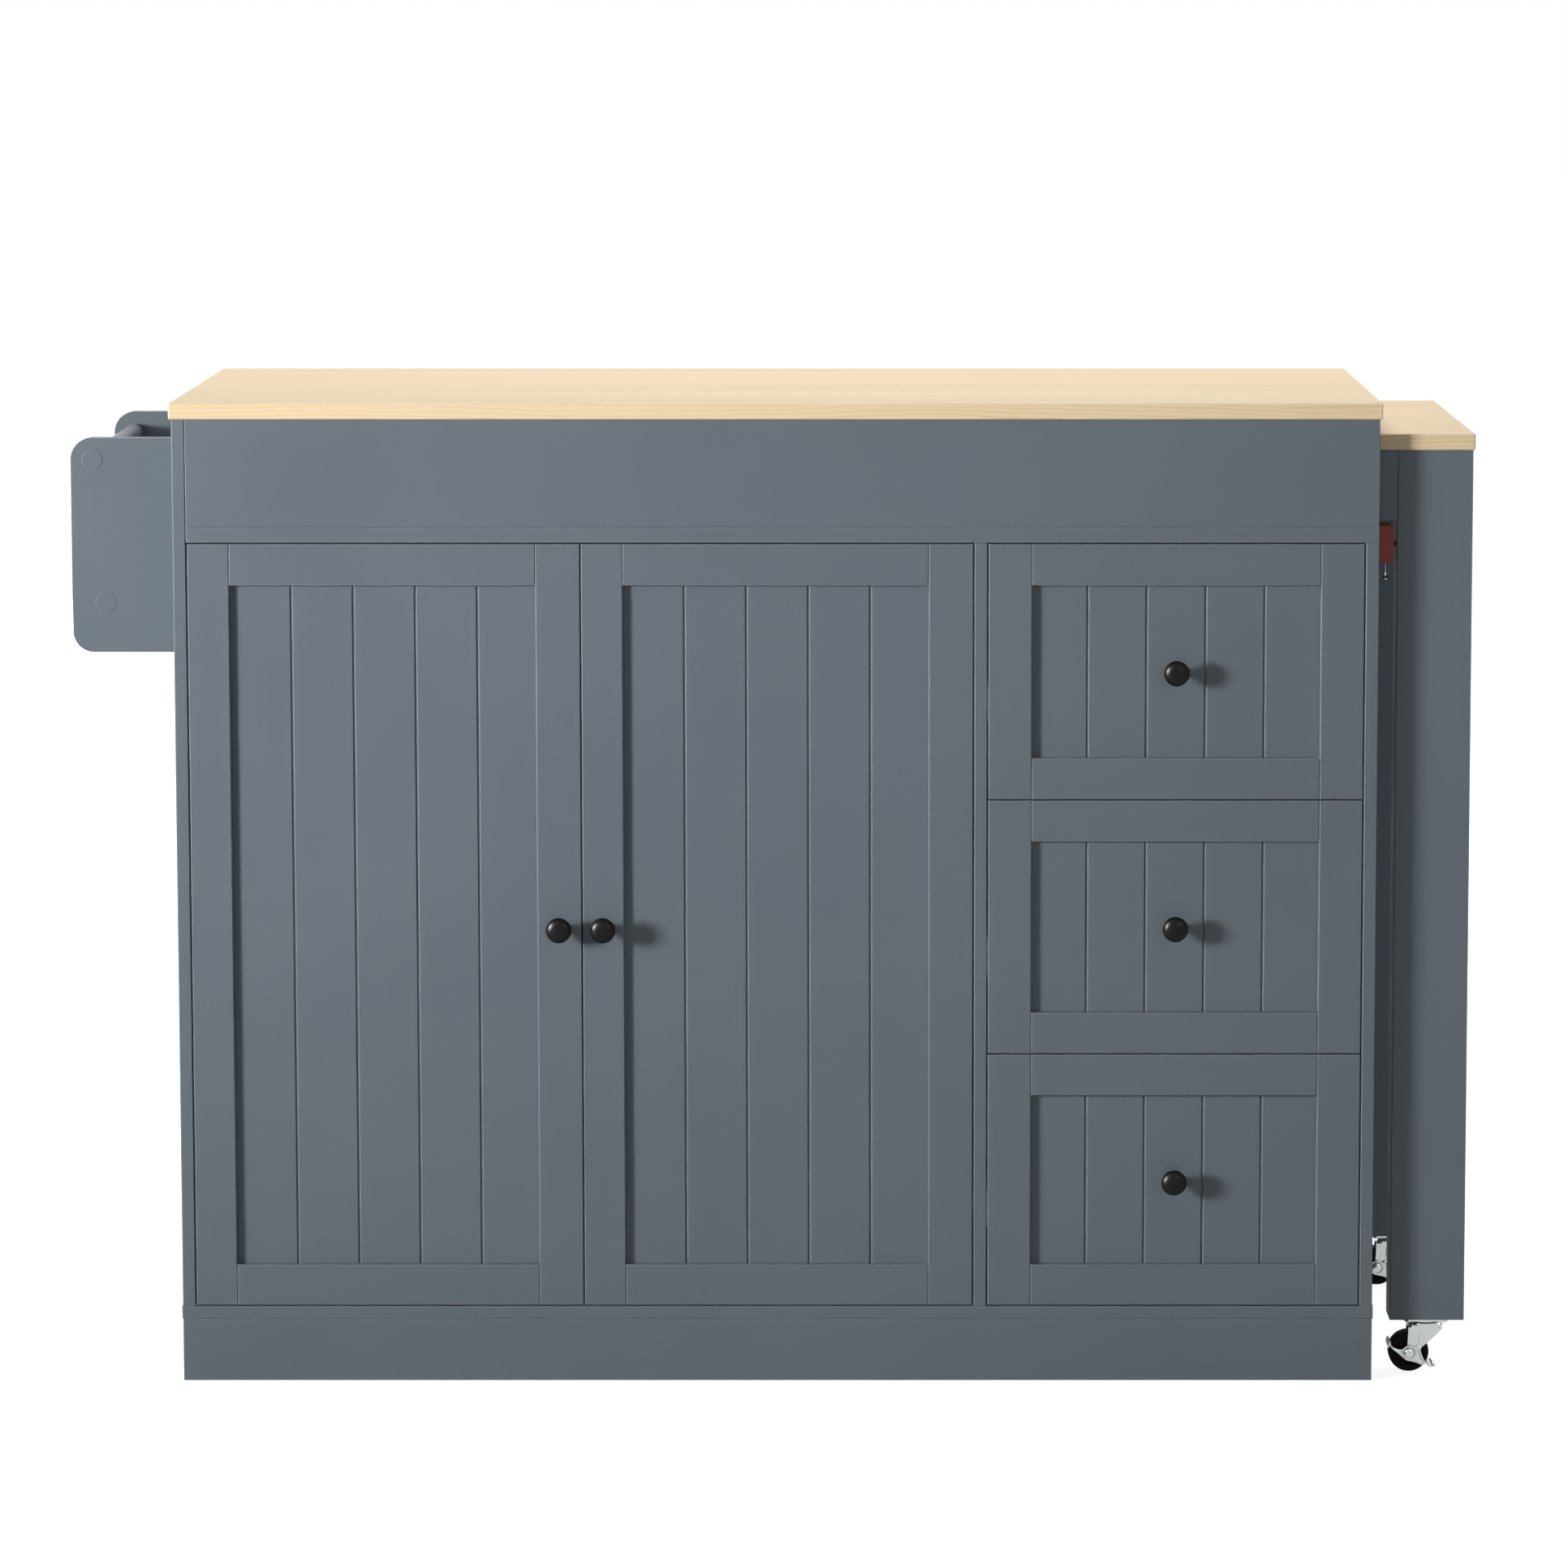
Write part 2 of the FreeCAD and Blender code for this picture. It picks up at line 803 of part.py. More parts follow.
def caster_wheel():
    """A tyre with a recessed web and a longer hub."""
    half = wheel_width / 2
    web = half - wheel_web_recess
    side = [
        (axle_radius + axle_fit, hub_width / 2),
        (hub_radius, hub_width / 2),
        (hub_radius, web),
        (wheel_rim_inner, web),
        (wheel_rim_inner, half),
        (wheel_radius, half),
    ]
    points = [Vector(axle_x + radius, reach, wheel_radius) for radius, reach in side]
    points += [Vector(axle_x + radius, -reach, wheel_radius) for radius, reach in reversed(side)]
    return turned(points, Vector(axle_x, 0, wheel_radius), Vector(0, 1, 0))


def from_axle(radius, shares):
    """A point beside the axle: across and up from it, as shares of radius."""
    across, up = shares
    return Vector(axle_x + radius * across, 0, wheel_radius + radius * up)


def brake_cheek(sign):
    """A pressed cheek round the axle, from the shoe at the upper left to the pedal at the lower right."""
    shoe_in = from_axle(brake_path, shoe_top_share)
    shoe_out = from_axle(brake_path + brake_shoe_depth, shoe_top_share)
    high = from_axle(wheel_radius, cheek_high_share)
    low_right = from_axle(wheel_radius, cheek_low_right_share)
    high_right = from_axle(wheel_radius, cheek_high_right_share)
    outline = Part.Wire([
        line(shoe_out, shoe_in),
        arc(shoe_in, from_axle(wheel_radius, cheek_top_left_share), high),
        arc(high, from_axle(wheel_radius, cheek_top_right_share), high_right),
        line(high_right, low_right),
        arc(low_right, from_axle(wheel_radius, cheek_low_left_share), shoe_out),
    ])
    cheek = Part.Face(outline).extrude(Vector(0, sign * brake_sheet, 0))
    ear = prism(
        [
            high_right - Vector(brake_shoe_depth, 0, 0),
            from_axle(brake_path, pedal_top_share),
            from_axle(brake_path, pedal_under_share),
            low_right - Vector(brake_shoe_depth, 0, 0),
        ],
        Vector(0, sign * brake_sheet, 0),
    )
    return cheek.fuse(ear).translated(Vector(0, sign * brake_inner, 0))


def brake_bridge(points):
    """A strip across the wheel from one cheek's outer face to the other's."""
    start = Vector(0, -brake_outer, 0)
    return prism([point + start for point in points], Vector(0, 2 * brake_outer, 0))


def caster_brake():
    """A rocker on the axle: two cheeks joined by a shoe and by a pedal that turns up at its tip."""
    shoe = brake_bridge([
        from_axle(brake_path, shoe_top_share),
        from_axle(brake_path + brake_shoe_depth, shoe_top_share),
        from_axle(brake_path + brake_shoe_depth, shoe_end_share),
        from_axle(brake_path, shoe_end_share),
    ])
    reach = brake_path + brake_pedal_reach
    pedal = brake_bridge(
        [from_axle(brake_path, pedal_top_share)]
        + [from_axle(reach, share) for share in pedal_tip_shares]
        + [from_axle(brake_path, pedal_under_share)]
    )
    bore = along_y(axle_radius + axle_fit, -axle_end, axle_end, axle_x, wheel_radius)
    return brake_cheek(1).fuse([brake_cheek(-1), shoe, pedal]).cut(bore).removeSplitter()


def caster_placed(shape, place):
    return shape.translated(Vector(leg_middle, caster_places[place], 0))


def caster_plates():
    return Part.makeCompound([caster_placed(caster_plate(), place) for place in caster_places])


# Catch on the cabinet's right side, under the table's front rail

catch_top = rail_bottom - catch_drop - glide_pad_gap - table_rail_lift
catch_bottom = catch_top - catch_height
catch_middle = catch_front + catch_width / 2
catch_right = cabinet_width + catch_reach
plunger_level = catch_top - plunger_drop
catch_screw_x = catch_right - catch_screw_inset


def catch_block():
    shape = block(
        cabinet_width, catch_right,
        catch_front, catch_front + catch_width, catch_bottom, catch_top,
    )
    outer = [
        edge for edge in shape.Edges
        if edge.BoundBox.XMin > catch_right - catch_corner and edge.BoundBox.YLength > catch_width / 2
    ]
    shape = shape.makeFillet(catch_corner, outer)
    tail = catch_right - plunger_tail - plunger_travel - plunger_leg_gap
    bore = along_x(plunger_radius + plunger_fit, tail, catch_right + overrun, catch_middle, plunger_level)
    screw_bore = along_z(
        catch_screw_radius, catch_bottom - overrun, catch_bottom + catch_screw_grip,
        catch_screw_x, catch_middle,
    )
    return shape.cut([bore, screw_bore])


def catch_screw():
    """A flat-headed screw turned up into the block, its flared head at the bottom."""
    low = catch_bottom - catch_screw_length - catch_screw_head
    neck = low + catch_screw_head
    top = catch_bottom + catch_screw_grip
    points = [
        Vector(catch_screw_x + radius, catch_middle, level)
        for radius, level in (
            (0, low), (catch_screw_head_radius, low), (catch_screw_radius, neck),
            (catch_screw_radius, top), (0, top),
        )
    ]
    return turned(points, Vector(catch_screw_x, catch_middle, low), Vector(0, 0, 1))


def catch_plunger():
    """A round pin whose rounded tip ends just short of the table's leg."""
    tip = leg_left - plunger_leg_gap
    tail = catch_right - plunger_tail
    points = [
        Vector(level, catch_middle, plunger_level + radius)
        for radius, level in (
            (0, tail), (plunger_radius, tail), (plunger_radius, tip - plunger_nose),
            (plunger_radius - plunger_nose, tip), (0, tip),
        )
    ]
    return turned(points, Vector(tail, catch_middle, plunger_level), Vector(1, 0, 0))


nodes["worktop"] = worktop()
nodes["side_panel_left"] = side_panel_left()
nodes["side_panel_right"] = side_panel_right()
nodes["divider_panel"] = divider_panel()
nodes["bottom_board"] = bottom_board()
nodes["cavity_floor"] = cavity_floor()
nodes["front_apron"] = front_apron()
nodes["rear_apron"] = rear_apron()
nodes["back_panel"] = back_panel()
nodes["plinth"] = plinth()
nodes["adjustable_shelf"] = adjustable_shelf()
nodes["shelf_pins"] = shelf_pins()
nodes["hinge_arms"] = hinge_arms()
nodes["drawer_channels"] = drawer_channels()
nodes["rack_front_plate"] = rack_plate(rack_front)
nodes["rack_rear_plate"] = rack_plate(rack_back)
nodes["rack_bars"] = rack_bars()
nodes["rack_caps"] = rack_caps()
nodes["extension_stop"] = extension_stop()
nodes["catch_block"] = catch_block()
nodes["catch_screw"] = catch_screw()
nodes["catch_plunger"] = catch_plunger()
for door in door_spans:
    add_door(door)
for number in range(drawer_count):
    add_drawer(number)
nodes["extension_top"] = extension_top()
nodes["extension_front_rail"] = extension_rail(frame_front)
nodes["extension_rear_rail"] = extension_rail(frame_back - table_rail)
nodes["extension_cross_rails"] = extension_cross_rails()
nodes["extension_front_leg"] = extension_leg(frame_front)
nodes["extension_rear_leg"] = extension_leg(frame_back - leg_depth)
nodes["extension_glides"] = extension_glides()
nodes["caster_plates"] = caster_plates()
for place in caster_places:
    nodes["caster_fork_" + place] = caster_placed(caster_fork(), place)
    nodes["caster_wheel_" + place] = caster_placed(caster_wheel(), place)
    nodes["caster_brake_" + place] = caster_placed(caster_brake(), place)

os.makedirs("parts", exist_ok=True)
for name, shape in nodes.items():
    shape.translated(Vector(-origin_x, -origin_y, 0)).exportStep("parts/" + name + ".step")
print(len(nodes), "nodes")
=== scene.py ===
import math

import bmesh
import bpy
from mathutils import Matrix, Vector


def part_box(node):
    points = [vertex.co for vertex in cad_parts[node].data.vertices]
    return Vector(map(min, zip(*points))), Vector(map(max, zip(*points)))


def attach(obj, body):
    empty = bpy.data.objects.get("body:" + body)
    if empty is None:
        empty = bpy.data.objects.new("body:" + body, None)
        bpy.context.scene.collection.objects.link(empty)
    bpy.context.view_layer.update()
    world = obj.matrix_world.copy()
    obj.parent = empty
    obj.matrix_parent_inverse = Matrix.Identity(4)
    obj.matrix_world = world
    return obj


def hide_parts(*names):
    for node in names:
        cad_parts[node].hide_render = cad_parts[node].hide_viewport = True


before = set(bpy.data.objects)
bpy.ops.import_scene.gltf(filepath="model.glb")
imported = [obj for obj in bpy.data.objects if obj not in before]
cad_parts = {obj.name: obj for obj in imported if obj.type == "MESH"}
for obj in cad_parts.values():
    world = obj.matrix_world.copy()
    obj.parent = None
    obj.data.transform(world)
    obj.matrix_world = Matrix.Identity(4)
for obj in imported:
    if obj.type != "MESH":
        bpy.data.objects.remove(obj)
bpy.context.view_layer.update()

MM = 0.001

# Linear colours, mostly as two shades that a noise mixes

PAINT = ((0.107, 0.129, 0.151), (0.115, 0.138, 0.160))
PAINT_FLECK = (0.092, 0.113, 0.134)
# The next tone is a painted highlight for the paint's edges
PAINT_EDGE_HIGHLIGHT = (0.33, 0.37, 0.405)
WOOD = ((0.745, 0.586, 0.367), (0.81, 0.663, 0.437))
WOOD_RING = (0.60, 0.33, 0.17)
WOOD_FIBRE = (0.56, 0.36, 0.2)
WOOD_PORE = (0.42, 0.24, 0.13)
LAMINATE = ((0.585, 0.565, 0.52), (0.655, 0.64, 0.6))
ENAMEL = ((0.0003, 0.0003, 0.0004), (0.0012, 0.0012, 0.0013))
ZINC = ((0.455, 0.48, 0.47), (0.475, 0.50, 0.49))
TYRE = ((0.003, 0.003, 0.0032), (0.0075, 0.0075, 0.0078))
PLASTIC = ((0.23, 0.038, 0.036), (0.27, 0.05, 0.046))
NYLON = ((0.7, 0.7, 0.665), (0.78, 0.78, 0.75))
FLOOR = ((0.46, 0.46, 0.46), (0.48, 0.48, 0.48))
WHITE = (1, 1, 1, 1)

BEVEL_SAMPLES = 6


# Nodes of a material

class Nodes:
    """Adds and joins the nodes of one material or world."""

    def __init__(self, owner):
        owner.use_nodes = True
        self.tree = owner.node_tree
        self.tree.nodes.clear()

    def fill(self, socket, value):
        if isinstance(value, bpy.types.NodeSocket):
            self.tree.links.new(value, socket)
        else:
            socket.default_value = value

    def add(self, kind, sockets=(), **settings):
        node = self.tree.nodes.new(kind)
        for name, value in settings.items():
            setattr(node, name, value)
        for name, value in dict(sockets).items():
            self.fill(node.inputs[name], value)
        return node

    def maths(self, operation, first, second=None):
        sockets = {0: first}
        if second is not None:
            sockets[1] = second
        return self.add("ShaderNodeMath", sockets, operation=operation).outputs[0]

    def place(self, scale=(1, 1, 1)):
        """The point on the object in metres, stretched by scale."""
        point = self.add("ShaderNodeTexCoord").outputs["Object"]
        return self.add("ShaderNodeMapping", {"Vector": point, "Scale": scale}).outputs[0]

    def noise(self, vector, scale=1.0, detail=2.0, rough=0.5):
        sockets = {"Vector": vector, "Scale": scale, "Detail": detail, "Roughness": rough}
        return self.add("ShaderNodeTexNoise", sockets).outputs[0]

    def between(self, value, low, high, from_low=0.3, from_high=0.7):
        """A value spread over a new range."""
        sockets = {"Value": value, "From Min": from_low, "From Max": from_high}
        sockets.update({"To Min": low, "To Max": high})
        return self.add("ShaderNodeMapRange", sockets).outputs[0]

    def mix(self, share, first, second):
        """A colour between two others, each a socket or three linear values."""
        node = self.add("ShaderNodeMix", {0: share}, data_type="RGBA")
        for index, colour in ((6, first), (7, second)):
            plain = isinstance(colour, tuple)
            self.fill(node.inputs[index], (*colour, 1.0) if plain else colour)
        return node.outputs[2]

    def rounded(self, radius):
        """The surface's direction with its edges rounded over by radius."""
        return self.add("ShaderNodeBevel", {"Radius": radius}, samples=BEVEL_SAMPLES).outputs[0]

    def bump(self, height, strength, distance, normal=None):
        sockets = {"Height": height, "Strength": strength, "Distance": distance}
        if normal is not None:
            sockets["Normal"] = normal
        return self.add("ShaderNodeBump", sockets).outputs[0]

    def seen(self):
        """1 on rays from the camera, gloss or glass, and 0 on those that light the object."""
        path = self.add("ShaderNodeLightPath").outputs
        straight = self.maths("MAXIMUM", path["Is Camera Ray"], path["Is Glossy Ray"])
        return self.maths("MAXIMUM", straight, path["Is Transmission Ray"])

    def finish(self, colour, rough, normal, others):
        """The finished surface. Others gives more of the shader's sockets."""
        sockets = {"Base Color": colour, "Roughness": rough, "Normal": normal, **others}
        shader = self.add("ShaderNodeBsdfPrincipled", sockets).outputs[0]
        self.add("ShaderNodeOutputMaterial", {"Surface": shader})


def material(name):
    made = bpy.data.materials.new(name)
    return made, Nodes(made)


def painted_board():
    """Satin blue-grey paint with a faint roller texture, and a lighter painted highlight along its edges.
    """
    made, nodes = material("satin_paint")
    fleck_share = 0.22
    stipple_share = 0.35
    point = nodes.place()
    cloud = nodes.between(nodes.noise(point, scale=2.6, detail=3), 0, 1, from_low=0.35, from_high=0.65)
    fleck = nodes.between(nodes.noise(point, scale=900, rough=0.7), 0, 1)
    tone = nodes.mix(cloud, *PAINT)
    tone = nodes.mix(nodes.maths("MULTIPLY", fleck, fleck_share), tone, PAINT_FLECK)

    # Painted highlight: the edges are lightened, an edge being where the rounded direction leaves the
    # face's own
    facing = nodes.add("ShaderNodeNewGeometry").outputs["Normal"]
    lean = nodes.add("ShaderNodeVectorMath", {0: nodes.rounded(0.8 * MM), 1: facing}, operation="DISTANCE")
    painted_edge_highlight = nodes.between(lean.outputs["Value"], 0, 0.55, from_low=0.12, from_high=0.45)
    tone = nodes.mix(painted_edge_highlight, tone, PAINT_EDGE_HIGHLIGHT)

    stipple = nodes.noise(point, scale=420, detail=3, rough=0.6)
    swell = nodes.noise(point, scale=38)
    height = nodes.maths("ADD", nodes.maths("MULTIPLY", stipple, stipple_share), swell)
    normal = nodes.bump(height, strength=0.09, distance=0.6 * MM, normal=nodes.rounded(0.4 * MM))
    rough = nodes.between(nodes.noise(point, scale=11, detail=4), 0.36, 0.44)
    nodes.finish(tone, rough, normal, {"Specular IOR Level": 0.26})
    return made


def light_wood():
    """Pale straight-grained wood, with its growth rings running along the boards' length."""
    made, nodes = material("pale_wood")
    heart_y = 0.62
    heart_z = 0.55
    squeeze_y = 0.62
    squeeze_z = 0.9
    rings_per_metre = 330
    ring_contrast = 0.6
    pore_contrast = 0.25
    fibre_height = 0.35
    pore_depth = 0.6

    # Where the point lies across the log, bent by slow and quick wavering along the grain
    drift = nodes.noise(nodes.place((1.3, 9, 9)), detail=3, rough=0.55)
    flow = nodes.noise(nodes.place((5.5, 26, 26)))
    waver = nodes.noise(nodes.place((22, 60, 60)))
    parts = nodes.add("ShaderNodeSeparateXYZ", {0: nodes.place()}).outputs
    across = nodes.maths("ADD", parts["Y"], nodes.maths("MULTIPLY", drift, 85 * MM))
    up = nodes.maths("ADD", parts["Z"], nodes.maths("MULTIPLY", flow, 8.5 * MM))
    up = nodes.maths("ADD", up, nodes.maths("MULTIPLY", waver, 1.6 * MM))
    beside = nodes.maths("MULTIPLY", nodes.maths("ADD", across, heart_y), squeeze_y)
    above = nodes.maths("MULTIPLY", nodes.maths("SUBTRACT", up, heart_z), squeeze_z)
    squares = nodes.maths("ADD", nodes.maths("POWER", beside, 2), nodes.maths("POWER", above, 2))
    reach = nodes.maths("SQRT", squares)

    # A ring darkens slowly towards its late wood and ends sharply
    ring = nodes.maths("FRACT", nodes.maths("MULTIPLY", reach, rings_per_metre))
    late = nodes.between(ring, 0, 1, from_low=0.5, from_high=0.95)
    drop = nodes.between(ring, 1, 0, from_low=0.95, from_high=1.0)
    line = nodes.maths("MULTIPLY", nodes.maths("POWER", late, 2.4), drop)
    uneven = nodes.between(nodes.noise(nodes.place((3, 60, 60)), detail=3), 0.35, 1.0)
    line = nodes.maths("MULTIPLY", line, uneven)

    bands = nodes.between(nodes.noise(nodes.place((0.9, 14, 14)), detail=3), 0, 1)
    fibre = nodes.noise(nodes.place((28, 900, 900)), detail=3, rough=0.6)
    pore = nodes.noise(nodes.place((55, 1300, 1300)), detail=1)
    pore = nodes.between(pore, 0, 1, from_low=0.66, from_high=0.74)
    tone = nodes.mix(bands, *WOOD)
    tone = nodes.mix(nodes.maths("MULTIPLY", line, ring_contrast), tone, WOOD_RING)
    tone = nodes.mix(nodes.between(fibre, 0, 0.1, from_low=0.4), tone, WOOD_FIBRE)
    tone = nodes.mix(nodes.maths("MULTIPLY", pore, pore_contrast), tone, WOOD_PORE)
    height = nodes.maths("MULTIPLY", fibre, fibre_height)
    height = nodes.maths("SUBTRACT", height, nodes.maths("MULTIPLY", pore, pore_depth))
    normal = nodes.bump(height, strength=0.12, distance=0.2 * MM, normal=nodes.rounded(0.9 * MM))
    rough = nodes.between(line, 0.4, 0.5, from_low=0, from_high=1)
    nodes.finish(tone, rough, normal, {"Specular IOR Level": 0.08})
    return made


def drawer_board():
    """Pale smooth laminate with a faint fibre print."""
    made, nodes = material("pale_laminate")
    fibre = nodes.noise(nodes.place((40, 40, 300)), detail=3, rough=0.6)
    weave = nodes.noise(nodes.place((700, 700, 120)))
    tone = nodes.mix(nodes.between(fibre, 0, 1), *LAMINATE)
    normal = nodes.bump(weave, strength=0.08, distance=0.2 * MM, normal=nodes.rounded(0.6 * MM))
    nodes.finish(tone, nodes.between(fibre, 0.42, 0.52), normal, {"Specular IOR Level": 0.4})
    return made


def black_gloss():
    """Black enamel under a softly shining coat, slightly uneven as sprayed enamel is."""
    made, nodes = material("black_enamel")
    point = nodes.place()
    dust = nodes.noise(point, scale=90, detail=4, rough=0.7)
    tone = nodes.mix(nodes.between(dust, 0, 1, from_low=0.45, from_high=0.75), *ENAMEL)
    normal = nodes.bump(nodes.noise(point, scale=520), strength=0.08, distance=0.2 * MM)
    nodes.finish(tone, nodes.between(dust, 0.46, 0.54), normal, {
        "Specular IOR Level": 0.04, "Coat Weight": 0.22, "Coat Roughness": 0.28,
    })
    return made


def zinc_steel():
    """Bright zinc plate with soft spangle and fine drawing lines."""
    made, nodes = material("zinc_plate")
    spangle = nodes.add("ShaderNodeTexVoronoi", {"Vector": nodes.place(), "Scale": 260.0}).outputs["Color"]
    grey = nodes.add("ShaderNodeSeparateColor", {0: spangle}).outputs[0]
    drawn = nodes.noise(nodes.place((300, 2200, 300)))
    tone = nodes.mix(nodes.between(grey, 0, 1, from_low=0, from_high=1), *ZINC)
    rough = nodes.between(grey, 0.21, 0.23, from_low=0, from_high=1)
    rough = nodes.maths("ADD", rough, nodes.between(drawn, -0.02, 0.03))
    normal = nodes.bump(drawn, strength=0.07, distance=0.1 * MM, normal=nodes.rounded(0.3 * MM))
    nodes.finish(tone, rough, normal, {"Metallic": 1.0})
    return made


def black_tyre():
    """Hard black tyre with a fine moulded grain."""
    made, nodes = material("tyre")
    point = nodes.place()
    grain = nodes.noise(point, scale=900, detail=3, rough=0.6)
    dust = nodes.noise(point, scale=70, detail=3)
    tone = nodes.mix(nodes.between(dust, 0, 1), *TYRE)
    normal = nodes.bump(grain, strength=0.15, distance=0.2 * MM)
    nodes.finish(tone, nodes.between(dust, 0.45, 0.6), normal, {"Specular IOR Level": 0.05})
    return made


def red_brown_plastic():
    """Dark red-brown moulded plastic with a fine spark texture."""
    made, nodes = material("moulded_plastic")
    point = nodes.place()
    grain = nodes.noise(point, scale=1500)
    cloud = nodes.noise(point, scale=120, detail=3)
    tone = nodes.mix(nodes.between(cloud, 0, 1), *PLASTIC)
    normal = nodes.bump(grain, strength=0.12, distance=0.2 * MM, normal=nodes.rounded(0.6 * MM))
    nodes.finish(tone, nodes.between(cloud, 0.36, 0.46), normal, {"Specular IOR Level": 0.25})
    return made


def nylon():
    """White nylon, a little milky."""
    made, nodes = material("white_nylon")
    point = nodes.place()
    cloud = nodes.noise(point, scale=90, detail=3)
    tone = nodes.mix(nodes.between(cloud, 0, 1), *NYLON)
    normal = nodes.bump(nodes.noise(point, scale=800), strength=0.08, distance=0.2 * MM)
    nodes.finish(tone, nodes.between(cloud, 0.42, 0.55), normal, {
        "Subsurface Weight": 0.08, "Subsurface Radius": (2 * MM, 2 * MM, 1.8 * MM),
    })
    return made


# Each function above bears the name of the slot that it finishes
makers = (
    painted_board, light_wood, drawer_board, black_gloss,
    zinc_steel, black_tyre, red_brown_plastic, nylon,
)
finishes = {maker.__name__: maker() for maker in makers}

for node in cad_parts.values():
    for slot in node.material_slots:
        slot.material = finishes[slot.material.name.split(".")[0]]


# Making pieces

def link(thing):
    bpy.context.scene.collection.objects.link(thing)
    return thing


def mesh_from(bm, name):
    """The finished mesh of bm, which ends here."""
    mesh = bpy.data.meshes.new(name)
    bm.to_mesh(mesh)
    bm.free()
    return mesh


def pointing(centre, direction, turn=0.0):
    """The place whose own Z runs from centre along direction."""
    facing = Vector(direction).to_track_quat("Z", "Y").to_matrix().to_4x4()
    return Matrix.Translation(centre) @ facing @ Matrix.Rotation(turn, 4, "Z")


def smooth(points, parts):
    """A line through the points, each span drawn with parts steps of one soft curve."""
    ends = [points[0]] + list(points) + [points[-1]]
    line = [points[0]]
    for before, start, end, after in zip(ends, ends[1:], ends[2:], ends[3:]):
        for step in range(1, parts + 1):
            t = step / parts
            weights = (
                -0.5 * t + t * t - 0.5 * t ** 3,
                1 - 2.5 * t * t + 1.5 * t ** 3,
                0.5 * t + 2 * t * t - 1.5 * t ** 3,
                -0.5 * t * t + 0.5 * t ** 3,
            )
            line.append(tuple(
                sum(weight * point[i] for weight, point in zip(weights, (before, start, end, after)))
                for i in range(len(start))
            ))
    return line


def circle(radius, steps):
    """Points round a circle, in millimetres."""
    turns = [math.tau * i / steps for i in range(steps)]
    return [(radius * math.cos(turn), radius * math.sin(turn)) for turn in turns]


def ring(bm, points, place, level):
    """New corners at flat points in millimetres, level along the place's own Z."""
    return [bm.verts.new(place @ Vector((x * MM, y * MM, level * MM))) for x, y in points]


def walls(bm, first, second):
    """Faces between two rings of as many corners."""
    for i in range(len(first)):
        j = (i + 1) % len(first)
        bm.faces.new((first[i], first[j], second[j], second[i]))


def lathe(bm, profile, place, steps, closed=False):
    """Turns (radius, height) pairs in millimetres about the place's own Z."""
    rings = []
    for radius, height in profile:
        points = circle(radius, steps) if radius > 0 else [(0, 0)]
        rings.append(ring(bm, points, place, height))
    pairs = list(zip(rings, rings[1:]))
    if closed:
        pairs.append((rings[-1], rings[0]))
    for low, high in pairs:
        for i in range(steps):
            j = (i + 1) % steps
            corners = (low[i % len(low)], low[j % len(low)], high[j % len(high)], high[i % len(high)])
            corners = list(dict.fromkeys(corners))
            if len(corners) > 2:
                bm.faces.new(corners)


def extruded(bm, outline, place, low, high):
    """A flat outline in millimetres, thick from low to high along the place's own Z."""
    bottom = ring(bm, outline, place, low)
    top = ring(bm, outline, place, high)
    bm.faces.new(bottom[::-1])
    bm.faces.new(top)
    walls(bm, bottom, top)


def piece(name, bm, slot, body, replaced=(), sharp=38.0):
    """Makes an object of the mesh, shades it smooth up to sharp degrees, and lets it ride on its body."""
    bmesh.ops.recalc_face_normals(bm, faces=bm.faces)
    for face in bm.faces:
        face.smooth = True
    for edge in bm.edges:
        edge.smooth = len(edge.link_faces) == 2 and edge.calc_face_angle(0) < math.radians(sharp)
    mesh = mesh_from(bm, name)
    mesh.materials.append(finishes[slot])
    made = link(bpy.data.objects.new(name, mesh))
    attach(made, body)
    if replaced:
        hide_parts(*replaced)


# Cross-head screws, one shape used at every place

CROSS_REACH = 0.56
CROSS_HALF_WIDTH = 0.13
CROSS_FLOOR = 0.3
CROSS_TOP = 1.4
HEAD_STEPS = 28
PAN_RISE = ((1.0, 0.0), (1.0, 0.25), (0.93, 0.55), (0.7, 0.86), (0.35, 0.98))
SUNK_RISE = ((0.6, 0.0), (1.0, 0.7), (0.96, 0.86), (0.6, 0.97))


def cut(target, tool):
    """Cuts one mesh out of another and returns the result as a mesh."""
    first = link(bpy.data.objects.new("cut_target", target))
    second = link(bpy.data.objects.new("cut_tool", tool))
    step = first.modifiers.new("cut", "BOOLEAN")
    step.operation = "DIFFERENCE"
    step.solver = "EXACT"
    step.object = second
    graph = bpy.context.evaluated_depsgraph_get()
    result = bpy.data.meshes.new_from_object(first.evaluated_get(graph))
    for thing in (first, second):
        bpy.data.objects.remove(thing)
    return result


def screw_head(radius, height, rise=PAN_RISE):
    """A screw head with its cross recess, its foot on the origin. Rise is its side in shares of both."""
    bm = bmesh.new()
    profile = [(0, 0)] + [(radius * out, height * up) for out, up in rise] + [(0, height)]
    lathe(bm, profile, Matrix(), HEAD_STEPS)
    bmesh.ops.recalc_face_normals(bm, faces=bm.faces)
    head = mesh_from(bm, "head")
    arm = radius * CROSS_REACH
    half = radius * CROSS_HALF_WIDTH
    corners = (
        (half, half), (arm, half), (arm, -half), (half, -half), (half, -arm), (-half, -arm),
        (-half, -half), (-arm, -half), (-arm, half), (-half, half), (-half, arm), (half, arm),
    )
    bm = bmesh.new()
    extruded(bm, corners, Matrix(), height * CROSS_FLOOR, height * CROSS_TOP)
    bmesh.ops.recalc_face_normals(bm, faces=bm.faces)
    return cut(head, mesh_from(bm, "recess"))


def screws(name, head, places, body):
    """One piece of the same head at several places on one body."""
    bm = bmesh.new()
    for place in places:
        copy = head.copy()
        copy.transform(place)
        bm.from_mesh(copy)
        bpy.data.meshes.remove(copy)
    piece(name, bm, "zinc_steel", body, sharp=30)


# Knobs

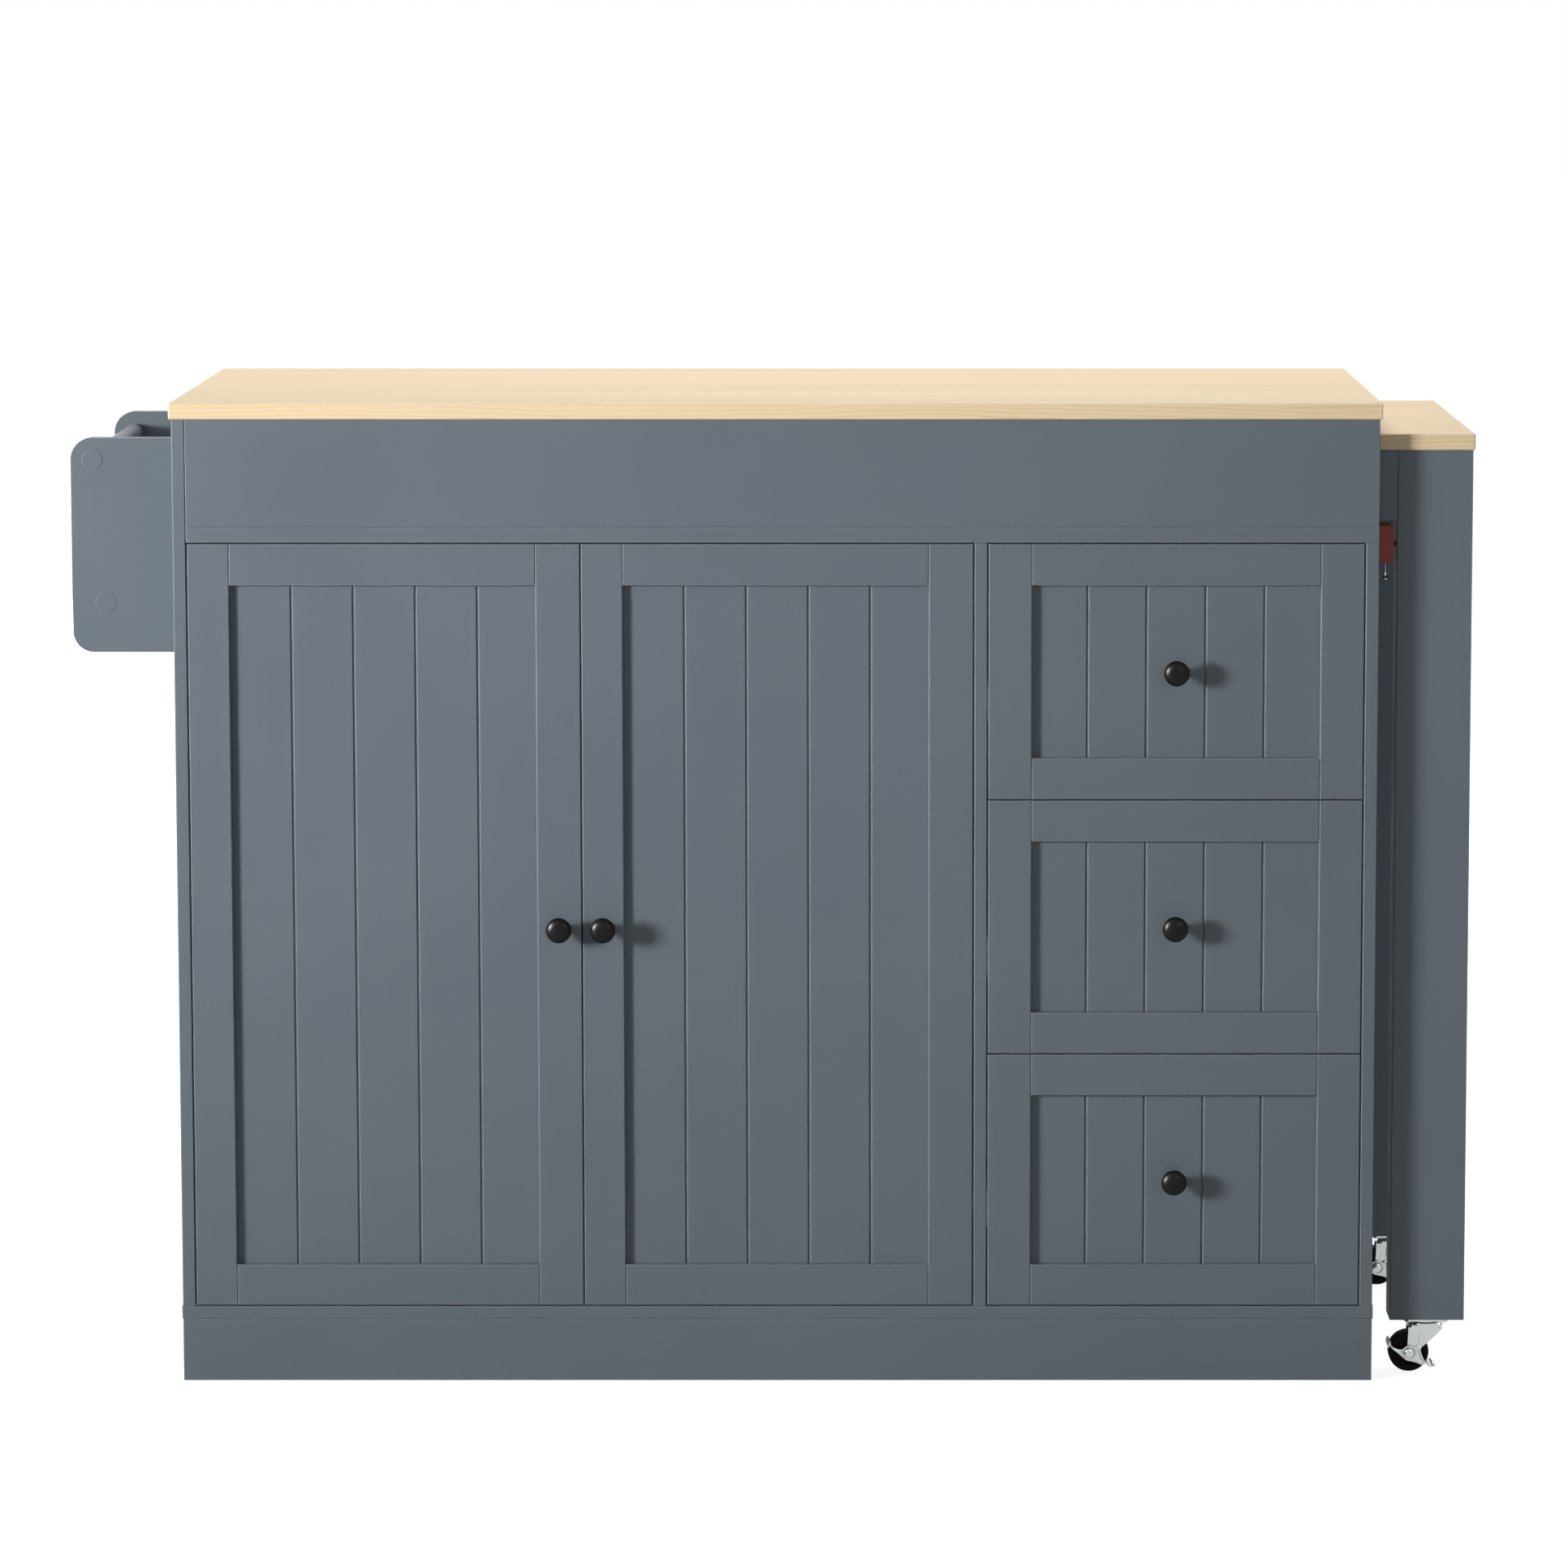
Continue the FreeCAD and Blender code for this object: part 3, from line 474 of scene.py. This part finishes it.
KNOB_SIDE = smooth([
    (7.0, 0.5), (6.5, 2.2), (5.3, 4.8), (4.65, 7.6), (4.7, 10.2), (6.0, 12.4), (9.0, 14.2),
    (11.1, 16.3), (11.7, 18.4), (11.25, 20.7), (9.6, 22.8), (6.6, 24.3), (3.2, 24.9),
], parts=4)
KNOB = [(0, 0), (6.7, 0)] + KNOB_SIDE + [(0, 25.0)]
DRAWER_BOARD = 12 * MM
DOORS = {"door_left": 1, "door_right": -1}
DRAWERS = ("drawer_top", "drawer_middle", "drawer_bottom")
knob_screw = screw_head(radius=4.2, height=1.9)

for body in (*DOORS, *DRAWERS):
    low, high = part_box(body + "_knob")
    middle = (low + high) / 2
    bm = bmesh.new()
    lathe(bm, KNOB, pointing((middle.x, high.y, middle.z), (0, -1, 0)), steps=64)
    piece(body + "_turned_knob", bm, "black_gloss", body, (body + "_knob",))
    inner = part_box(body + "_panel")[1].y
    if body in DRAWERS:
        inner += DRAWER_BOARD
    inside = pointing((middle.x, inner, middle.z), (0, 1, 0), turn=0.4)
    screws(body + "_knob_screw", knob_screw, [inside], body)

# Hinge screws, two for each cup and two for each arm's plate, each cross turned its own way

CUP_FROM_END = 26 * MM
CUP_SCREW_FROM_EDGE = 17.5 * MM
CUP_SCREW_RISE = 22.5 * MM
PLATE_THICKNESS = 1.6 * MM
PLATE_SCREW_BACK = 62 * MM
PLATE_SCREW_RISE = 15 * MM
cup_screw = screw_head(radius=3.1, height=1.2)
plate_screw = screw_head(radius=3.5, height=1.5)
plate_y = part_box("door_left_frame")[0].y + PLATE_SCREW_BACK

for body, side in DOORS.items():
    low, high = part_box(body + "_hinge_cups")
    levels = (low.z + CUP_FROM_END, high.z - CUP_FROM_END)
    cup_x = (low.x if side > 0 else high.x) + side * CUP_SCREW_FROM_EDGE
    screws(body + "_cup_screws", cup_screw, [
        pointing((cup_x, high.y, level + rise * CUP_SCREW_RISE), (0, 1, 0), 0.7 * rise + level)
        for level in levels for rise in (-1, 1)
    ], body)
    board_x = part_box("side_panel_left")[1].x if side > 0 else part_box("divider_panel")[0].x
    plate_x = board_x + side * PLATE_THICKNESS
    screws(body + "_arm_screws", plate_screw, [
        pointing((plate_x, plate_y, level + rise * PLATE_SCREW_RISE), (side, 0, 0), 0.5 * rise + level * 3)
        for level in levels for rise in (-1, 1)
    ], "cabinet")

# Back panel screws, along the divider's rear edge

BACK_SCREW_SHARES = (0.05, 0.23, 0.41, 0.59, 0.77, 0.95)
BACK_SCREW_DEPTH = 0.3 * MM
back_screw = screw_head(radius=3.2, height=1.2, rise=SUNK_RISE)
low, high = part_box("back_panel")
divider_x = sum(corner.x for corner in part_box("divider_panel")) / 2
screws("back_panel_screws", back_screw, [
    pointing((divider_x, high.y - BACK_SCREW_DEPTH, low.z + (high.z - low.z) * share), (0, 1, 0), share * 9)
    for share in BACK_SCREW_SHARES
], "cabinet")

# Casters: outlines in millimetres from the axle

WHEEL_RADIUS = 19.0
TYRE_HALF = [
    (2.6, 10.2), (5.6, 10.2), (5.9, 9.9), (5.95, 7.6), (6.3, 7.25), (11.9, 7.25), (12.3, 7.5),
    (12.6, 8.5), (13.0, 8.7), (17.0, 8.7), (18.1, 8.35), (18.7, 7.5), (18.86, 6.2), (18.94, 3.2),
    (18.94, 0.35), (WHEEL_RADIUS, 0.15),
]
TYRE_SIDE = TYRE_HALF + [(radius, -height) for radius, height in reversed(TYRE_HALF)]
CHEEK = smooth([
    (14.8, -11.0), (11.3, -11.3), (7.2, -9.6), (1.7, -8.3), (-2.5, -7.2), (-6.6, -4.0), (-10.7, -0.4),
    (-14.9, 2.9), (-18.4, 7.2), (-18.9, 9.3), (-17.6, 8.9), (-16.0, 6.2), (-12.6, 4.1), (-8.0, 3.2),
    (-3.8, 5.0), (0.3, 5.9), (4.5, 5.6), (7.4, 7.0), (9.9, 6.6), (11.2, 4.2), (10.2, 0.6), (11.6, -4.2),
    (13.2, -7.4), (14.8, -11.0),
], parts=3)[:-1]
CHEEK_FACES = (12.25, 13.45)
CHEEK_EASE = 0.4
HOLE = circle(radius=2.6, steps=24)
BEAD = [(5.2, 13.4), (7.0, 13.4), (6.7, 13.8), (6.1, 14.0), (5.5, 13.8)]
FLANGE = smooth([(9.6, 5.0), (10.4, 0.6), (12.2, -4.4), (14.6, -8.6), (17.2, -11.0)], parts=6)
FLANGE_FACES = (12.3, 15.0)
FLANGE_THICKNESS = 1.3
SHOE = smooth([(-17.3, 10.2), (-18.9, 8.0), (-19.4, 6.0), (-19.5, 4.7)], parts=4)
SHOE_HALF_WIDTH = 13.4
SHOE_THICKNESS = 1.1
PEDAL = smooth([(16.8, -10.6), (18.8, -12.0), (20.9, -12.5), (22.9, -12.2), (24.6, -11.0)], parts=8)
PEDAL_HALF_WIDTH = 14.4
PEDAL_THICKNESS = 1.5
CREASE = [(0.7, 0), (0.62, 0.25), (0.35, 0.45), (0, 0.5)]
CREASE_STRETCH = 8.0
CREASE_PLACE = (9.3, 12.1, 15.0)
RIVET_RADIUS = 5.0
RIVET_FOOT = 0.3
RIVET_RISE = 2.6
RIVET_OUT = 13.6
RIVET = [(0, 0), (RIVET_RADIUS, 0)] + [
    (RIVET_RADIUS * math.cos(math.radians(turn)), RIVET_FOOT + RIVET_RISE * math.sin(math.radians(turn)))
    for turn in range(0, 90, 10)
] + [(0, RIVET_FOOT + RIVET_RISE)]
KINGPIN_FROM_AXLE = 15.5
CASTER_PLATE_THICKNESS = 1.8
PLATE_SCREW_X = 17.2
PLATE_SCREW_Y = 14.8


def inset(outline, by):
    """A closed outline, anticlockwise or clockwise, drawn in by a small length."""
    befores = outline[-1:] + outline
    afters = outline[1:] + outline[:1]
    area = sum(a[0] * b[1] - b[0] * a[1] for a, b in zip(outline, afters))
    side = math.copysign(by, area)
    moved = []
    for before, (x, y), after in zip(befores, outline, afters):
        dx = after[0] - before[0]
        dy = after[1] - before[1]
        run = math.hypot(dx, dy)
        moved.append((x - dy / run * side, y + dx / run * side))
    return moved


def pressed(bm, outline, hole, place, low, high, ease):
    """A flat sheet with a hole through it, its rim on the high side broken by ease."""
    shoulder = high - math.copysign(ease, high - low)
    levels = ((outline, low), (outline, shoulder), (inset(outline, ease), high))
    rims = [ring(bm, points, place, level) for points, level in levels]
    bores = [ring(bm, hole, place, level) for level in (low, high)]
    for first, second in (*zip(rims, rims[1:]), bores):
        walls(bm, first, second)
    for outer, inner in ((rims[0], bores[0]), (rims[2], bores[1])):
        edges = [bm.edges.get(pair) for line in (outer, inner) for pair in zip(line, line[1:] + line[:1])]
        bmesh.ops.triangle_fill(bm, use_beauty=True, edges=edges)


def strip(line, thickness):
    """The outline of a bent sheet that follows a line, in millimetres."""
    left = []
    right = []
    for i, (x, y) in enumerate(line):
        ax, ay = line[max(i - 1, 0)]
        bx, by = line[min(i + 1, len(line) - 1)]
        run = math.hypot(bx - ax, by - ay)
        nx = -(by - ay) / run * thickness / 2
        ny = (bx - ax) / run * thickness / 2
        left.append((x + nx, y + ny))
        right.append((x - nx, y - ny))
    return left + right[::-1]


caster_screw = screw_head(radius=2.6, height=1.4)

for end in ("front", "rear"):
    low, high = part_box("caster_wheel_" + end)
    axle = (low + high) / 2
    along = Matrix.Translation(axle) @ Matrix.Rotation(math.radians(90), 4, "X")
    bm = bmesh.new()
    lathe(bm, TYRE_SIDE, along, steps=80, closed=True)
    wheel = "caster_wheel_" + end
    piece("caster_tyre_" + end, bm, "black_tyre", wheel, (wheel,), sharp=30)

    bm = bmesh.new()
    for side in (1, -1):
        pressed(bm, CHEEK, HOLE, along, *(side * face for face in CHEEK_FACES), CHEEK_EASE)
        bead = [(radius, side * height) for radius, height in BEAD]
        lathe(bm, bead, along, steps=40, closed=True)
        faces = sorted(side * face for face in FLANGE_FACES)
        extruded(bm, strip(FLANGE, FLANGE_THICKNESS), along, *faces)
    extruded(bm, strip(SHOE, SHOE_THICKNESS), along, -SHOE_HALF_WIDTH, SHOE_HALF_WIDTH)
    extruded(bm, strip(PEDAL, PEDAL_THICKNESS), along, -PEDAL_HALF_WIDTH, PEDAL_HALF_WIDTH)
    brake = "caster_brake_" + end
    piece("caster_lever_" + end, bm, "zinc_steel", brake, (brake,), sharp=50)

    for side in (-1, 1):
        bm = bmesh.new()
        rivet = pointing(axle + Vector((0, side * RIVET_OUT * MM, 0)), (0, side, 0))
        lathe(bm, RIVET, rivet, steps=36)
        back, out, up = (length * MM for length in CREASE_PLACE)
        crease = pointing(axle + Vector((back, side * out, up)), (0, side, 0))
        lathe(bm, CREASE, crease @ Matrix.Diagonal((1, CREASE_STRETCH, 1, 1)), steps=24)
        name = "caster_rivet_" + end + ("_outer" if side < 0 else "_inner")
        piece(name, bm, "zinc_steel", "caster_fork_" + end)

    plate_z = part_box("caster_plates")[1].z - CASTER_PLATE_THICKNESS * MM
    stem = Vector((axle.x + KINGPIN_FROM_AXLE * MM, axle.y, plate_z))
    corners = [(a, b) for a in (-1, 1) for b in (-1, 1)]
    spread = Vector((PLATE_SCREW_X, PLATE_SCREW_Y, 0)) * MM
    screws("caster_plate_screws_" + end, caster_screw, [
        pointing(stem + spread * Vector((a, b, 0)), (0, 0, -1), a + 0.4 * b) for a, b in corners
    ], "extension")

# Catch screw with its thread, in millimetres from its head's foot

THREAD_START = 6.0
THREAD_END = 16.4
THREAD_PITCH = 0.7
THREAD_CORE = 1.4
THREAD_CREST = 1.65
SCREW_LENGTH = 20.0
profile = [
    (0, 0), (5.1, 0), (5.5, 0.3), (5.5, 0.75), (4.9, 1.0), (3.7, 1.4), (2.6, 2.3), (1.85, 3.8), (1.55, 5.6),
]
level = THREAD_START
while level < THREAD_END:
    profile += [(THREAD_CORE, level), (THREAD_CREST, level + 0.3), (THREAD_CORE, level + 0.6)]
    level += THREAD_PITCH
profile += [(THREAD_CORE, SCREW_LENGTH), (0, SCREW_LENGTH)]
low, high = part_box("catch_screw")
middle = (low + high) / 2
bm = bmesh.new()
lathe(bm, profile, pointing((middle.x, middle.y, low.z), (0, 0, 1)), steps=32)
piece("catch_threaded_screw", bm, "zinc_steel", "cabinet", ("catch_screw",), sharp=25)


# Floor and background

FLOOR_HALF = 30
FLOOR_DROP = 0.3 * MM
AMBIENT = 0.05


def backdrop():
    """A pale floor that shows white to the camera and keeps the object's soft shadow."""
    made, nodes = material("pale_floor")
    grain = nodes.noise(nodes.place(), scale=3.0)
    plain = nodes.add("ShaderNodeBsdfDiffuse", {"Color": nodes.mix(nodes.between(grain, 0, 1), *FLOOR)})

    # Painted shade: it glows less near the object, where the shadow falls
    far = nodes.add("ShaderNodeVectorMath", {0: nodes.place()}, operation="LENGTH").outputs["Value"]
    strength = nodes.between(far, 0.86, 1.0, from_low=1.2, from_high=2.6)
    glow = nodes.add("ShaderNodeEmission", {"Color": WHITE, "Strength": strength})
    both = nodes.add("ShaderNodeAddShader", {0: plain.outputs[0], 1: glow.outputs[0]})
    shader = nodes.add("ShaderNodeMixShader", {0: nodes.seen(), 1: plain.outputs[0], 2: both.outputs[0]})
    nodes.add("ShaderNodeOutputMaterial", {"Surface": shader.outputs[0]})
    return made


bm = bmesh.new()
bmesh.ops.create_grid(bm, x_segments=1, y_segments=1, size=FLOOR_HALF)
mesh = mesh_from(bm, "floor")
mesh.materials.append(backdrop())
floor = link(bpy.data.objects.new("floor", mesh))
floor.location = (0, 0, -FLOOR_DROP)

world = bpy.data.worlds.new("studio")
bpy.context.scene.world = world
nodes = Nodes(world)
ambient = nodes.add("ShaderNodeBackground", {"Color": WHITE, "Strength": AMBIENT}).outputs[0]
white = nodes.add("ShaderNodeBackground", {"Color": WHITE, "Strength": 1.0}).outputs[0]
sky = nodes.add("ShaderNodeMixShader", {0: nodes.seen(), 1: ambient, 2: white}).outputs[0]
nodes.add("ShaderNodeOutputWorld", {"Surface": sky})


# Lamps: name, place, point aimed at, width, height, spread in degrees, power in watts

LAMPS = (
    ("key_left", (-3.4, -2.36, 1.14), (0.0, -0.2, 0.82), 0.75, 0.75, 60, 27),
    ("overhead", (0.0, 1.0, 3.2), (0, 0.1, 0.9), 3.2, 2.2, 180, 81),
    ("front_right", (1.9, -3.3, 2.0), (0.45, -0.2, 0.85), 1.4, 1.0, 60, 2.4),
    ("behind", (-1.5, 6.5, 0.45), (0, 0.24, 0.45), 3.4, 0.8, 180, 255),
    ("right_side", (6.5, 2.2, 0.6), (0.6, 0.2, 0.45), 2.4, 1.0, 180, 260),
    ("sheen_left", (-4.6, -3.2, 2.2), (0.0, -0.2, 0.6), 2.4, 2.4, 180, 1150),
)

# Only glossy reflections show this lamp, which gives the black knobs their broad highlight
GLOSS_ONLY = "sheen_left"

for name, place, target, width, height, spread, power in LAMPS:
    data = bpy.data.lights.new(name, "AREA")
    data.shape = "RECTANGLE"
    data.size = width
    data.size_y = height
    data.spread = math.radians(spread)
    data.energy = power
    made = link(bpy.data.objects.new(name, data))
    made.location = place
    made.rotation_euler = (Vector(target) - Vector(place)).to_track_quat("-Z", "Y").to_euler()
    made.visible_diffuse = name != GLOSS_ONLY


# Camera, at the photograph's viewing angle

CAMERA_PLACE = (0.1046, -5.577, 1.3215)
CAMERA_TILT = math.radians(6.532)
data = bpy.data.cameras.new("camera")
data.lens = 134.8
data.sensor_width = 36
data.shift_x = -0.0636
data.shift_y = -0.10
data.clip_end = 100
camera = link(bpy.data.objects.new("camera", data))
camera.location = CAMERA_PLACE
camera.rotation_euler = (math.radians(90) - CAMERA_TILT, 0, 0)
bpy.context.scene.camera = camera
bpy.context.scene.view_settings.view_transform = "Standard"
